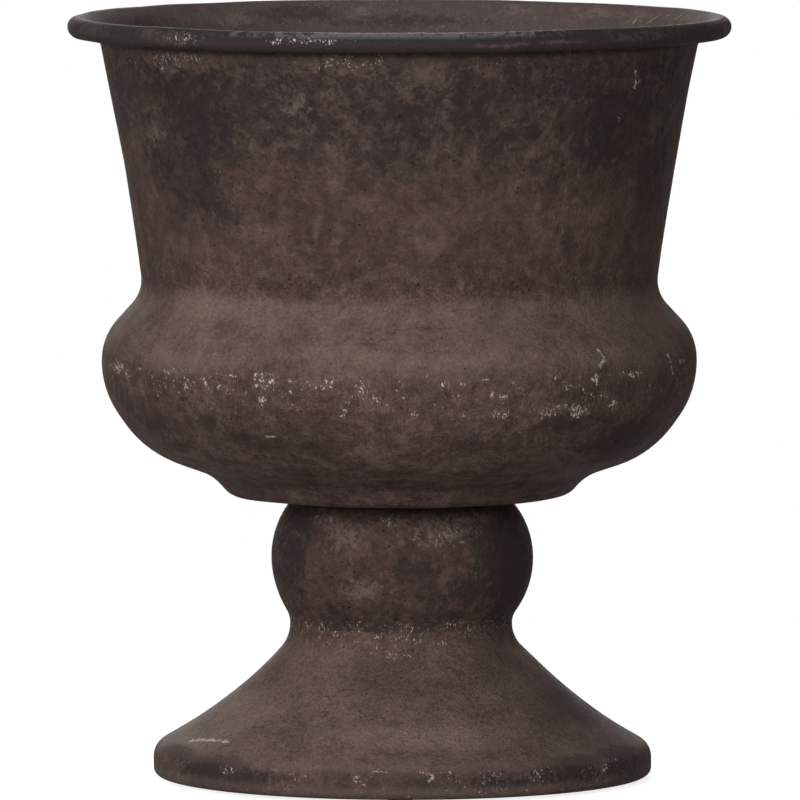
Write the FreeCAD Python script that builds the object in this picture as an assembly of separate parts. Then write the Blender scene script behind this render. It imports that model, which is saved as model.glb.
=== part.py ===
import FreeCAD
import Part
import math
import os
from FreeCAD import Vector

# Urn planter of spun sheet steel. A flared collar with a wired, rolled rim is seamed to a round belly
# over a backing band. The bowl stands on a knop and a flared foot, seamed at the neck over a second
# band. One bolt through the bowl's floor pulls a strap up under the knop's flange and holds the bowl
# down. A rubber bung closes the drain hole, and felt pads keep the hem off the floor.
# Millimetres, +Z up, origin on the floor under the middle of the foot.

# Sheet and seams
sheet = 1.2
seam_clearance = 0.3
band_thickness = 1.2

# Heights of the four spun pieces, each from the seam or face below it
pad_thickness = 1.5
foot_height = 69.0
knop_height = 58.4
belly_height = 58.6
collar_height = 158.0

# Foot: a flat hem and an upright band at the floor, then a long flare up to the neck
foot_radius = 112.8
foot_edge_rounding = 3.6
hem_width = 12.2
foot_band_height = 13.3
foot_band_rounding = 9.0
flare_radius = 79.9
flare_height = 32.5
flare_rounding = 205.0
neck_radius = 50.3
neck_drop = 6.6
neck_lower_rounding = 15.8

# Knop: a squat ball between the neck and the bowl, with a flat flange on top
knop_radius = 59.2
neck_rise = 3.2
neck_upper_rounding = 10.5
knop_lower_rise = 16.9
knop_lower_rounding = 42.0
knop_upper_drop = 12.25
knop_upper_rounding = 41.0
knop_top_radius = 47.2
knop_top_rounding = 2.2
knop_flange_width = 11.2

# Belly: flat floor, a stepped base, then a full round side up to the girth seam
base_radius = 76.7
base_rounding = 8.0
step_radius = 85.15
step_rise = 9.3
step_rounding = 26.0
underside_radius = 115.3
underside_rise = 19.9
underside_rounding = 48.0
girth_radius = 134.6
girth_drop = 11.2
belly_rounding = 42.0

# Collar: shoulder, waist and a gently flaring wall that turns out into the rolled rim
shoulder_rise = 13.0
shoulder_rounding = 25.6
waist_radius = 115.75
waist_rise = 33.1
waist_rounding = 16.5
wall_radius = 123.4
wall_rise = 88.7
wall_rounding = 1200.0
rim_radius = 150.0
rim_bead_diameter = 9.3
rim_lip_angle = 30.0
rim_lip_length = 8.5
rim_flare_rounding = 18.0
rim_curl_turn = 300.0
rim_wire_clearance = 0.1

# Backing bands behind the two seams
girth_band_width = 16.0
neck_band_width = 9.0

# Bolted joint between the bowl's floor and the knop
bolt_diameter = 8.0
bolt_length = 25.0
bolt_hole_clearance = 0.3
thread_clearance = 0.05
hexagon_width = 13.0
hexagon_chamfer_angle = 30.0
bolt_head_height = 5.3
bolt_tip_chamfer = 1.0
nut_height = 6.5
nut_countersink = 0.5
washer_diameter = 24.0
washer_thickness = 1.6
seal_thickness = 2.0
strap_width = 20.0
strap_thickness = 4.0
strap_bearing = 7.0
strap_corner_rounding = 4.0
spring_washer_width = 3.0
spring_washer_thickness = 2.0
spring_washer_slit = 1.2

# Drain hole and its bung
drain_diameter = 16.0
drain_gap = 1.0
bung_clearance = 0.1
bung_flange_width = 3.0
bung_flange_thickness = 3.0
bung_depth = 7.0
bung_taper = 0.8
bung_stem_diameter = 9.0
bung_stem_height = 5.0
bung_knob_diameter = 14.0
bung_knob_height = 6.0
bung_rounding = 1.2

# Felt pads under the hem
pad_count = 4
pad_inset = 0.6

# Heights, radii and places that follow from the sizes above
hem_z = pad_thickness
neck_z = hem_z + foot_height
bowl_z = neck_z + knop_height
floor_top_z = bowl_z + sheet
girth_z = bowl_z + belly_height
rim_z = girth_z + collar_height
hem_outer_radius = foot_radius - foot_edge_rounding
hem_inner_radius = hem_outer_radius - hem_width
flange_inner_radius = knop_top_radius - knop_flange_width
strap_top_z = bowl_z - sheet
strap_bottom_z = strap_top_z - strap_thickness
spring_washer_bottom_z = strap_bottom_z - spring_washer_thickness
washer_bottom_z = floor_top_z + seal_thickness
bolt_seat_z = washer_bottom_z + washer_thickness
bolt_radius = bolt_diameter / 2
bolt_hole_radius = bolt_radius + bolt_hole_clearance
washer_radius = washer_diameter / 2
drain_radius = drain_diameter / 2
bung_flange_radius = drain_radius + bung_flange_width
drain_offset = washer_radius + drain_gap + bung_flange_radius
bead_radius = rim_bead_diameter / 2
rim_wire_radius = bead_radius - sheet - rim_wire_clearance
AXIS = Vector(0, 0, 1)
CENTRE = Vector(0, 0, 0)
SHORTEST_EDGE = 1e-6
SHARP = 0.0


def at(radius, height):
    """A point of a profile, in the plane that is turned about the axis."""
    return Vector(radius, 0, height)


def arc_reaches(corners, roundings, turns):
    """How far from each corner its arc starts, cut back where two arcs need more than their run."""
    wanted = [0.0]
    for rounding, turn in zip(roundings, turns):
        wanted.append(rounding * math.tan(turn / 2))
    wanted.append(0.0)
    reaches = list(wanted)
    for i, (start, end) in enumerate(zip(corners, corners[1:])):
        needed = wanted[i] + wanted[i + 1]
        room = start.distanceToPoint(end)
        if needed > room:
            reaches[i] = min(reaches[i], wanted[i] * room / needed)
            reaches[i + 1] = min(reaches[i + 1], wanted[i + 1] * room / needed)
    return reaches


def rounded_path(corners, roundings):
    """Straight runs between the corners, each inner corner rounded by an arc tangent to its runs."""
    turns = []
    for before, corner, after in zip(corners, corners[1:], corners[2:]):
        turns.append((corner - before).getAngle(after - corner))
    reaches = arc_reaches(corners, roundings, turns)
    edges = []
    last = corners[0]
    for i, turn in enumerate(turns, start=1):
        back = (corners[i - 1] - corners[i]).normalize()
        ahead = (corners[i + 1] - corners[i]).normalize()
        start = corners[i] + back * reaches[i]
        end = corners[i] + ahead * reaches[i]
        if start.distanceToPoint(last) > SHORTEST_EDGE:
            edges.append(Part.LineSegment(last, start).toShape())
        if reaches[i] > SHORTEST_EDGE:
            middle = corners[i] + (back + ahead).normalize() * reaches[i] * math.tan(turn / 4)
            edges.append(Part.Arc(start, middle, end).toShape())
        last = end
    if corners[-1].distanceToPoint(last) > SHORTEST_EDGE:
        edges.append(Part.LineSegment(last, corners[-1]).toShape())
    return edges


def spun(face):
    """A face of the profile plane, turned once round the axis."""
    return face.revolve(CENTRE, AXIS, 360)


def spun_sheet(wire, thickness):
    """Spun sheet metal whose outside is the wire, with its thickness to the left of the wire's run."""
    return spun(wire.makeOffset2D(thickness, fill=True, openResult=True))


def spun_solid(corners, roundings):
    """A solid turned from an outline that starts and ends on the axis."""
    edges = rounded_path(corners, roundings)
    edges.append(Part.LineSegment(corners[-1], corners[0]).toShape())
    return spun(Part.Face(Part.Wire(edges)))


def layer(bottom, top):
    """Everything between two heights, wider than the whole planter."""
    return Part.makeCylinder(2 * rim_radius, top - bottom, Vector(0, 0, bottom))


def ring(inner_radius, outer_radius, bottom, height):
    """A plain ring round the axis."""
    base = Vector(0, 0, bottom)
    outer = Part.makeCylinder(outer_radius, height, base)
    return outer.cut(Part.makeCylinder(inner_radius, height, base))


def pedestal():
    """Foot and knop in one run of sheet, from the hem's inner edge to the flange's inner edge."""
    corners = [
        at(hem_inner_radius, hem_z),
        at(foot_radius, hem_z),
        at(foot_radius, hem_z + foot_band_height),
        at(flare_radius, hem_z + flare_height),
        at(neck_radius, neck_z - neck_drop),
        at(neck_radius, neck_z + neck_rise),
        at(knop_radius, neck_z + knop_lower_rise),
        at(knop_radius, bowl_z - knop_upper_drop),
        at(knop_top_radius, bowl_z),
        at(flange_inner_radius, bowl_z),
    ]
    roundings = [
        foot_edge_rounding,
        foot_band_rounding,
        flare_rounding,
        neck_lower_rounding,
        neck_upper_rounding,
        knop_lower_rounding,
        knop_upper_rounding,
        knop_top_rounding,
    ]
    return spun_sheet(Part.Wire(rounded_path(corners, roundings)), sheet)


def bowl_corners():
    """Corners of the bowl's outside, from the bolt hole in its floor to halfway up its wall."""
    return [
        at(bolt_hole_radius, bowl_z),
        at(base_radius, bowl_z),
        at(step_radius, bowl_z + step_rise),
        at(underside_radius, bowl_z + underside_rise),
        at(girth_radius, girth_z - girth_drop),
        at(girth_radius, girth_z + shoulder_rise),
        at(waist_radius, girth_z + waist_rise),
        at(wall_radius, girth_z + wall_rise),
    ]


def bowl_roundings():
    """Radii of the bowl's corners up to its waist."""
    return [
        base_rounding,
        step_rounding,
        underside_rounding,
        belly_rounding,
        shoulder_rounding,
        waist_rounding,
    ]


def bowl():
    """Belly and collar in one run of sheet, from the bolt hole to the end of the roll round the wire."""
    bead_centre = at(rim_radius - bead_radius, rim_z - bead_radius)
    roll_radius = bead_radius - sheet
    roll_start = 90.0 + rim_lip_angle
    roll = []
    for share in (0.0, 0.5, 1.0):
        angle = math.radians(roll_start - share * rim_curl_turn)
        roll.append(bead_centre + at(roll_radius * math.cos(angle), roll_radius * math.sin(angle)))
    lip_angle = math.radians(rim_lip_angle)
    lip_run = at(math.cos(lip_angle), math.sin(lip_angle)) * rim_lip_length
    corners = bowl_corners() + [roll[0] - lip_run, roll[0]]
    roundings = bowl_roundings() + [wall_rounding, rim_flare_rounding]
    edges = rounded_path(corners, roundings)
    edges.append(Part.Arc(*roll).toShape())
    return spun_sheet(Part.Wire(edges), sheet)


def drain_place(height):
    """The middle of the drain hole at a height. The hole lies to one side of the strap."""
    return Vector(0, -drain_offset, height)


def collar_shell():
    return bowl().common(layer(girth_z, rim_z + sheet))


def belly_shell():
    drain_hole = Part.makeCylinder(drain_radius, 3 * sheet, drain_place(bowl_z - sheet))
    return bowl().common(layer(bowl_z - sheet, girth_z)).cut(drain_hole)


def knop_shell():
    return pedestal().common(layer(neck_z, bowl_z + sheet))


def foot_shell():
    return pedestal().common(layer(hem_z - sheet, neck_z))


def rim_wire():
    bead_centre = Vector(0, 0, rim_z - bead_radius)
    return Part.makeTorus(rim_radius - bead_radius, rim_wire_radius, bead_centre)


def girth_band():
    """A strip pressed to the bowl's inside, half above and half below the girth seam."""
    outside = Part.Wire(rounded_path(bowl_corners(), bowl_roundings()))
    seat_depth = sheet + seam_clearance
    lining = spun_sheet(outside, seat_depth + band_thickness).cut(spun_sheet(outside, seat_depth))
    half_width = girth_band_width / 2
    return lining.common(layer(girth_z - half_width, girth_z + half_width))


def neck_band():
    """A plain hoop inside the narrowest part of the pedestal, across the neck seam."""
    outer_radius = neck_radius - sheet - seam_clearance
    bottom = neck_z - neck_band_width / 2
    return ring(outer_radius - band_thickness, outer_radius, bottom, neck_band_width)


def hexagon(bottom, height, chamfer_bottom):
    """A hexagon prism with its corners turned off at the top, and at the bottom as well for a nut."""
    flat_radius = hexagon_width / 2
    corner_radius = flat_radius / math.cos(math.pi / 6)
    drop = (corner_radius - flat_radius) * math.tan(math.radians(hexagon_chamfer_angle))
    top = bottom + height
    points = []
    for side in range(7):
        angle = math.radians(60 * side)
        points.append(Vector(corner_radius * math.cos(angle), corner_radius * math.sin(angle), bottom))
    prism = Part.Face(Part.makePolygon(points)).extrude(Vector(0, 0, height))
    corners = [at(0, bottom)]
    if chamfer_bottom:
        corners += [at(flat_radius, bottom), at(corner_radius, bottom + drop)]
    else:
        corners += [at(corner_radius, bottom)]
    corners += [at(corner_radius, top - drop), at(flat_radius, top), at(0, top)]
    return prism.common(spun_solid(corners, [SHARP] * (len(corners) - 2)))


def clamp_bolt():
    tip_z = bolt_seat_z - bolt_length
    corners = [
        at(0, tip_z),
        at(bolt_radius - bolt_tip_chamfer, tip_z),
        at(bolt_radius, tip_z + bolt_tip_chamfer),
        at(bolt_radius, bolt_seat_z),
        at(0, bolt_seat_z),
    ]
    shank = spun_solid(corners, [SHARP] * 3)
    return shank.fuse(hexagon(bolt_seat_z, bolt_head_height, False)).removeSplitter()


def hex_nut():
    bottom = spring_washer_bottom_z - nut_height
    bore = bolt_radius + thread_clearance
    mouth = bore + nut_countersink
    corners = [
        at(0, bottom),
        at(mouth, bottom),
        at(bore, bottom + nut_countersink),
        at(bore, spring_washer_bottom_z - nut_countersink),
        at(mouth, spring_washer_bottom_z),
        at(0, spring_washer_bottom_z),
    ]
    return hexagon(bottom, nut_height, True).cut(spun_solid(corners, [SHARP] * 4))


def sealing_washer():
    return ring(bolt_hole_radius, washer_radius, floor_top_z, seal_thickness)


def bolt_washer():
    return ring(bolt_hole_radius, washer_radius, washer_bottom_z, washer_thickness)


def clamp_strap():
    """A flat bar inside the knop, with both ends under the flange."""
    half_length = flange_inner_radius + strap_bearing
    corner = Vector(-half_length, -strap_width / 2, strap_bottom_z)
    bar = Part.makeBox(2 * half_length, strap_width, strap_thickness, corner)
    upright_edges = [edge for edge in bar.Edges if edge.BoundBox.ZLength > strap_thickness / 2]
    bar = bar.makeFillet(min(strap_corner_rounding, strap_width / 3), upright_edges)
    return bar.cut(Part.makeCylinder(bolt_hole_radius, strap_thickness, Vector(0, 0, strap_bottom_z)))


def spring_washer():
    outer_radius = bolt_hole_radius + spring_washer_width
    hoop = ring(bolt_hole_radius, outer_radius, spring_washer_bottom_z, spring_washer_thickness)
    corner = Vector(0, -spring_washer_slit / 2, spring_washer_bottom_z)
    return hoop.cut(Part.makeBox(2 * outer_radius, spring_washer_slit, spring_washer_thickness, corner))


def drain_bung():
    plug_radius = drain_radius - bung_clearance
    stem_radius = bung_stem_diameter / 2
    knob_radius = bung_knob_diameter / 2
    flange_top = bung_flange_thickness
    knob_bottom = flange_top + bung_stem_height
    knob_top = knob_bottom + bung_knob_height
    corners = [
        at(0, -bung_depth),
        at(plug_radius - bung_taper, -bung_depth),
        at(plug_radius, 0),
        at(bung_flange_radius, 0),
        at(bung_flange_radius, flange_top),
        at(stem_radius, flange_top),
        at(stem_radius, knob_bottom),
        at(knob_radius, knob_bottom),
        at(knob_radius, knob_top),
        at(0, knob_top),
    ]
    roundings = [bung_rounding, SHARP, SHARP] + [bung_rounding] * 5
    bung = spun_solid(corners, roundings)
    bung.translate(drain_place(floor_top_z))
    return bung


def felt_pads():
    pad_radius = hem_width / 2 - pad_inset
    ring_radius = (hem_inner_radius + hem_outer_radius) / 2
    pads = []
    for i in range(pad_count):
        angle = 2 * math.pi * i / pad_count
        place = Vector(ring_radius * math.cos(angle), ring_radius * math.sin(angle), 0)
        pads.append(Part.makeCylinder(pad_radius, pad_thickness, place))
    return Part.makeCompound(pads)


PIECES = (
    collar_shell,
    rim_wire,
    girth_band,
    belly_shell,
    knop_shell,
    neck_band,
    foot_shell,
    clamp_bolt,
    bolt_washer,
    sealing_washer,
    clamp_strap,
    spring_washer,
    hex_nut,
    drain_bung,
    felt_pads,
)


def main():
    os.makedirs("parts", exist_ok=True)
    for piece in PIECES:
        shape = piece()
        name = piece.__name__
        shape.exportStep(f"parts/{name}.step")
        print(f"{name}: {len(shape.Solids)} solid(s), {shape.Volume / 1000:.2f} cm3, valid {shape.isValid()}")


main()
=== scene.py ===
# %% [markdown]
# # An antiqued urn planter
# The planter is four spun steel shells, seamed into one profile: a flared collar, a round belly, a
# squat knop and a spreading foot. The imported CAD model comes in as a fixed frame, in metres, so each
# piece made here goes exactly where its solid is. A helper reads the box of a part.

# %% Load the frame
import math
import bpy
import bmesh
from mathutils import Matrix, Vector


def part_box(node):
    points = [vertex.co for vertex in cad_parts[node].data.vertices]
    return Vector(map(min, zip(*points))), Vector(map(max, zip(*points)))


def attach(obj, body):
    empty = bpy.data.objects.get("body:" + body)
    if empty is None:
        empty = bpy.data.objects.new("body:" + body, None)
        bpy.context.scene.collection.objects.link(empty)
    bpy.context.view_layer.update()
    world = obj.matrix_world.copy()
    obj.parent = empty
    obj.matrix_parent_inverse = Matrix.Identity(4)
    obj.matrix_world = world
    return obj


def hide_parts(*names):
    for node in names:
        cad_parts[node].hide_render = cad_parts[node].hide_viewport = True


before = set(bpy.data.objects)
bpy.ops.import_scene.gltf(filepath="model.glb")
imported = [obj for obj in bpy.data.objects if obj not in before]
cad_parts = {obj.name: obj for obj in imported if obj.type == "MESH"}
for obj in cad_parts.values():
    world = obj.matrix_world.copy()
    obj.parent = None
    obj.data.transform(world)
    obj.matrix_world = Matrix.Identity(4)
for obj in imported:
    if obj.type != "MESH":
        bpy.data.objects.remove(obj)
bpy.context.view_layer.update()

# %% [markdown]
# ## The camera
# The picture was taken from far away with a long lens: both rim ends look almost level, and the mouth
# is a thin slit. A camera about six metres away and a little above the rim gives that slit its height.
# The lens follows from how wide the picture is at the planter, so no shift is needed.

# %% Camera
camera_distance = 6.05
camera_height = 0.656
camera_side = -0.0002
aim_height = 0.1715
picture_width = 0.362
film_width = 36.0

bpy.ops.object.select_all(action="DESELECT")
bpy.ops.object.camera_add(location=(camera_side, -camera_distance, camera_height))
camera = bpy.context.object
sight = Vector((camera_side, 0, aim_height)) - camera.location
camera.rotation_euler = sight.to_track_quat("-Z", "Y").to_euler()
camera.data.sensor_width = film_width
camera.data.lens = film_width * sight.length / picture_width
camera.data.clip_end = 60
bpy.context.scene.camera = camera
bpy.context.view_layer.update()
print("camera:", round(camera.data.lens), "mm lens,", round(sight.length, 2), "m away")

# %% [markdown]
# ## One slice gives the profile
# A metal spinner turns a disc of sheet against a former, so every shell is one profile swept round an
# axis. The profile could be traced again by hand, but the frame already holds it: a copy of the solid
# is welded, cut by a plane through the axis, and only the cut line on one side is kept. Long straight
# runs are then divided, because a swept sheet needs points along it before it can be dented.

# %% Slice a shell into its half section
weld_distance = 1e-6
cut_tolerance = 1e-7
close_points = 0.00025
longest_run = 0.004


def make_active(piece):
    """Select one piece alone, so that the next operator acts on nothing else."""
    bpy.ops.object.select_all(action="DESELECT")
    piece.select_set(True)
    bpy.context.view_layer.objects.active = piece


def weld(distance):
    """Merge all points of the mesh in edit mode that lie closer than a distance."""
    bpy.ops.mesh.select_all(action="SELECT")
    bpy.ops.mesh.remove_doubles(threshold=distance)


def select_by(piece, kind, wanted):
    """In edit mode, select just those points or edges of a piece that a test wants."""
    bpy.ops.mesh.select_all(action="DESELECT")
    mesh = bmesh.from_edit_mesh(piece.data)
    for part in getattr(mesh, kind):
        part.select = wanted(part)
    mesh.select_flush(False)
    bmesh.update_edit_mesh(piece.data)


def half_section(node_name, piece_name):
    """A new piece that holds the cut line of a solid on the right of the axis."""
    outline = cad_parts[node_name].data.copy()
    outline.materials.clear()
    piece = bpy.data.objects.new(piece_name, outline)
    bpy.context.scene.collection.objects.link(piece)
    make_active(piece)
    bpy.ops.object.mode_set(mode="EDIT")
    weld(weld_distance)
    bpy.ops.mesh.select_all(action="SELECT")
    bpy.ops.mesh.bisect(plane_co=(0, 0, 0), plane_no=(0, 1, 0), clear_inner=True, clear_outer=True,
                        threshold=cut_tolerance)
    select_by(piece, "verts", lambda point: point.co.x < 0)
    bpy.ops.mesh.delete(type="VERT")
    weld(close_points)
    return piece


def divide_long_runs(piece, longest):
    """Halve every edge of the cut line until none is longer than the given length."""
    while True:
        mesh = bmesh.from_edit_mesh(piece.data)
        bpy.ops.mesh.select_all(action="DESELECT")
        long_edges = [edge for edge in mesh.edges if edge.calc_length() > longest]
        if not long_edges:
            return
        for edge in long_edges:
            edge.select_set(True)
        bmesh.update_edit_mesh(piece.data)
        bpy.ops.mesh.subdivide(number_cuts=1)


# %% [markdown]
# ## Spin the profile into a sheet
# The spin operator does what the lathe does. It closes on itself after a full turn, so the first and
# last copy of the line are merged, and the normals are made to point out of the metal. Smooth shading
# by angle keeps the cut edges of the sheet crisp and the curved walls soft.

# %% Spin a section
turn_steps = 256
seam_weld = 1e-5
crisp_angle = math.radians(38)


def spun_sheet(node_name, piece_name):
    """Slice a solid, spin the cut line round the axis and let the new piece stand for the solid."""
    piece = half_section(node_name, piece_name)
    divide_long_runs(piece, longest_run)
    bpy.ops.mesh.select_all(action="SELECT")
    bpy.ops.mesh.spin(steps=turn_steps, angle=math.tau, center=(0, 0, 0), axis=(0, 0, 1))
    weld(seam_weld)
    bpy.ops.mesh.select_all(action="SELECT")
    bpy.ops.mesh.normals_make_consistent(inside=False)
    bpy.ops.object.mode_set(mode="OBJECT")
    bpy.ops.object.shade_smooth_by_angle(angle=crisp_angle)
    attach(piece, "planter")
    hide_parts(node_name)
    print(piece_name, len(piece.data.vertices), "points,", len(piece.data.polygons), "faces")
    return piece


collar = spun_sheet("collar_shell", "collar")
belly = spun_sheet("belly_shell", "belly")
knop = spun_sheet("knop_shell", "knop")
foot = spun_sheet("foot_shell", "foot")
rim_core = spun_sheet("rim_wire", "rim_core")
girth_backing = spun_sheet("girth_band", "girth_backing")
neck_backing = spun_sheet("neck_band", "neck_backing")

# %% [markdown]
# ## The drain hole
# A spun floor has no hole off its middle, and on the real pot this one is punched after spinning. A
# short round cutter and a Boolean do the same. The cutter starts as a cylinder at the hole's place and
# is deleted once the cut is made.

# %% Punch the drain hole
drain_radius = 0.008
drain_offset = 0.024
floor_height = 0.1295
punch_depth = 0.008

bpy.ops.object.select_all(action="DESELECT")
bpy.ops.mesh.primitive_cylinder_add(vertices=64, radius=drain_radius, depth=punch_depth,
                                    location=(0, -drain_offset, floor_height))
punch = bpy.context.object
make_active(belly)
bpy.ops.object.modifier_add(type="BOOLEAN")
cut = belly.modifiers[-1]
cut.operation = "DIFFERENCE"
cut.solver = "EXACT"
cut.object = punch
bpy.ops.object.modifier_apply(modifier=cut.name)
bpy.data.objects.remove(punch)
bpy.ops.object.shade_smooth_by_angle(angle=crisp_angle)
print("belly with its drain hole:", len(belly.data.polygons), "faces")

# %% [markdown]
# ## Uneven by hand
# Sheet that is spun, seamed and ground by hand is never a perfect circle, and the bowl is never bolted
# down quite in the middle of its foot. A soft cloud pattern pushes each point by a few tenths of a
# millimetre. The pattern lies in space and every piece reads the same one, so pieces that touch move
# together and no seam opens. Then the bowl is set off to one side and the foot to the other, by less
# than the thickness of the sheet. Both fade out at the bolted floor and at the hem.

# %% Dent the sheets slightly
dent_size = 0.055
dent_push = 0.0011
bowl_set_off = -0.0004
foot_set_off = 0.0009
fixed_radius = 0.044
free_radius = 0.060
fixed_height = 0.003
free_height = 0.024

hand_clouds = bpy.data.textures.new("hand_clouds", "CLOUDS")
hand_clouds.noise_scale = dent_size
hand_clouds.noise_depth = 1
hand_clouds.cloud_type = "COLOR"


def ease(value, low, high):
    """Nought below low, one above high, and a smooth slope between."""
    share = min(1.0, max(0.0, (value - low) / (high - low)))
    return share * share * (3 - 2 * share)


def dent_sheet(piece, set_off):
    """Push a sheet about by the shared clouds and a little to one side, less near the fittings."""
    free = piece.vertex_groups.new(name="free_metal")
    for point in piece.data.vertices:
        radius = math.hypot(point.co.x, point.co.y)
        weight = ease(radius, fixed_radius, free_radius) * ease(point.co.z, fixed_height, free_height)
        free.add([point.index], weight, "REPLACE")
        point.co.x += set_off * ease(radius, fixed_radius, free_radius)
    make_active(piece)
    bpy.ops.object.modifier_add(type="DISPLACE")
    push = piece.modifiers[-1]
    push.texture = hand_clouds
    push.texture_coords = "LOCAL"
    push.direction = "RGB_TO_XYZ"
    push.mid_level = 0.5
    push.strength = dent_push
    push.vertex_group = free.name
    bpy.ops.object.modifier_apply(modifier=push.name)


for sheet_piece in (collar, belly, rim_core, girth_backing):
    dent_sheet(sheet_piece, bowl_set_off)
for sheet_piece in (knop, foot, neck_backing):
    dent_sheet(sheet_piece, foot_set_off)
print("dented by up to", round(dent_push / 2 * 1000, 2), "mm along each axis")

# %% [markdown]
# ## Felt feet
# Four discs of pressed felt keep the hem off the floor. Each could be cut from its solid, but felt has
# no sharp edge and bulges a little where the weight squeezes it. So one disc starts as a cylinder at
# the front of the hem, its rims are bevelled, and its side is divided and scaled out in the middle. It
# is then copied, and each copy's mesh is turned about the planter's axis to its own place.

# %% Model one felt disc
pad_low, pad_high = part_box("felt_pads")
pad_thickness = pad_high.z - pad_low.z
pad_radius = 0.0055
pad_ring_radius = 0.1031
pad_rounding = 0.0004
pad_bulge = 1.02
pad_count = 4
pad_smooth_angle = math.radians(60)
level_tolerance = 1e-6
upright_share = 0.9


def is_level(edge):
    """Whether both ends of an edge are at one height, as along a rim."""
    return abs(edge.verts[0].co.z - edge.verts[1].co.z) < level_tolerance


def is_side(edge):
    """Whether an edge runs up the side between the rounded rims."""
    run = edge.verts[0].co - edge.verts[1].co
    return abs(run.z) > upright_share * run.length and run.length > pad_rounding


def is_halfway(point):
    """Whether a point is half way up the disc."""
    return abs(point.co.z - pad_thickness / 2) < level_tolerance


bpy.ops.object.select_all(action="DESELECT")
bpy.ops.mesh.primitive_cylinder_add(vertices=48, radius=pad_radius / pad_bulge, depth=pad_thickness,
                                    location=(0, -pad_ring_radius, pad_thickness / 2))
first_disc = bpy.context.object
bpy.ops.object.transform_apply(location=True, rotation=False, scale=False)
bpy.ops.object.mode_set(mode="EDIT")
select_by(first_disc, "edges", is_level)
bpy.ops.mesh.bevel(offset=pad_rounding, segments=4, profile=0.5)
select_by(first_disc, "edges", is_side)
bpy.ops.mesh.subdivide(number_cuts=1)
select_by(first_disc, "verts", is_halfway)
bpy.ops.transform.resize(value=(pad_bulge, pad_bulge, 1), center_override=(0, -pad_ring_radius, 0))
bpy.ops.object.mode_set(mode="OBJECT")
bpy.ops.object.shade_smooth_by_angle(angle=pad_smooth_angle)
print("one felt disc:", len(first_disc.data.polygons), "faces")

# %% Copy the disc round the hem
discs = [first_disc]
for number in range(1, pad_count):
    make_active(first_disc)
    bpy.ops.object.duplicate(linked=False)
    disc = bpy.context.object
    bpy.ops.object.mode_set(mode="EDIT")
    bpy.ops.mesh.select_all(action="SELECT")
    bpy.ops.transform.rotate(value=number * math.tau / pad_count, orient_axis="Z", center_override=(0, 0, 0))
    bpy.ops.object.mode_set(mode="OBJECT")
    discs.append(disc)
for number, disc in enumerate(discs, start=1):
    disc.name = "felt_foot_%d" % number
    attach(disc, "planter")
    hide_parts("felt_pads")
print("felt discs:", [disc.name for disc in discs])

# %% [markdown]
# ## Small helpers for shader nodes
# Every finish below is built from nodes, and the same few moves come back: add a node, feed a socket
# with a link or a plain value, mix two colours, remap a value. Colours are written as they look in
# daylight on a scale to 255, and are turned into the linear light that the renderer works in.

# %% Node helpers


def add_node(tree, kind, **settings):
    """A new node with its plain settings made."""
    made = tree.nodes.new(kind)
    for name, value in settings.items():
        setattr(made, name, value)
    return made


def feed(tree, socket, source):
    """Link a source socket into an input, or write a plain value on it."""
    if isinstance(source, bpy.types.NodeSocket):
        tree.links.new(source, socket)
    else:
        socket.default_value = source


def calculate(tree, operation, first, second=0.0):
    """One step of arithmetic on two values."""
    step = add_node(tree, "ShaderNodeMath", operation=operation)
    feed(tree, step.inputs[0], first)
    feed(tree, step.inputs[1], second)
    return step.outputs[0]


def times(tree, first, *others):
    """The product of several values."""
    for other in others:
        first = calculate(tree, "MULTIPLY", first, other)
    return first


def highest(tree, first, *others):
    """The highest of several values."""
    for other in others:
        first = calculate(tree, "MAXIMUM", first, other)
    return first


def vector_step(tree, operation, first, second=None):
    """One step of arithmetic on vectors. Length and dot product give a value."""
    step = add_node(tree, "ShaderNodeVectorMath", operation=operation)
    feed(tree, step.inputs[0], first)
    if second is not None:
        feed(tree, step.inputs[1], second)
    return step.outputs["Value" if operation in ("LENGTH", "DOT_PRODUCT") else "Vector"]


def remap(tree, value, low, high, to_low=0.0, to_high=1.0):
    """Stretch low..high to to_low..to_high along a smooth slope."""
    made = add_node(tree, "ShaderNodeMapRange", interpolation_type="SMOOTHSTEP")
    for label, source in (("Value", value), ("From Min", low), ("From Max", high), ("To Min", to_low),
                          ("To Max", to_high)):
        feed(tree, made.inputs[label], source)
    return made.outputs["Result"]


def between(tree, mask, at_nought, at_one):
    """A value that goes from one level to another as a mask goes from nought to one."""
    return remap(tree, mask, 0.0, 1.0, at_nought, at_one)


def blend_colours(tree, share, under, over, way="MIX"):
    """Lay one colour over another by a share."""
    made = add_node(tree, "ShaderNodeMix", data_type="RGBA", blend_type=way)
    feed(tree, made.inputs["Factor"], share)
    colour_inputs = [socket for socket in made.inputs if socket.type == "RGBA"]
    feed(tree, colour_inputs[0], under)
    feed(tree, colour_inputs[1], over)
    return [socket for socket in made.outputs if socket.type == "RGBA"][0]


def lay(tree, colour, over, share, *masks):
    """Lay a colour over another, by a share, where every mask allows it."""
    return blend_colours(tree, times(tree, share, *masks), colour, over)


def tone(tree, colour, factor, share=1.0):
    """Multiply a colour by a factor, by a share."""
    return blend_colours(tree, share, colour, factor, "MULTIPLY")


def noise(tree, vector, scale, detail=3.0, roughness=0.55, swirl=0.0):
    """Cloudy noise, from nought to one."""
    made = add_node(tree, "ShaderNodeTexNoise")
    for label, source in (("Vector", vector), ("Scale", scale), ("Detail", detail),
                          ("Roughness", roughness), ("Distortion", swirl)):
        feed(tree, made.inputs[label], source)
    return made.outputs["Fac"]


def split_place(tree, vector):
    """The X, Y and Z of a vector."""
    made = add_node(tree, "ShaderNodeSeparateXYZ")
    feed(tree, made.inputs[0], vector)
    return made.outputs


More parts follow.
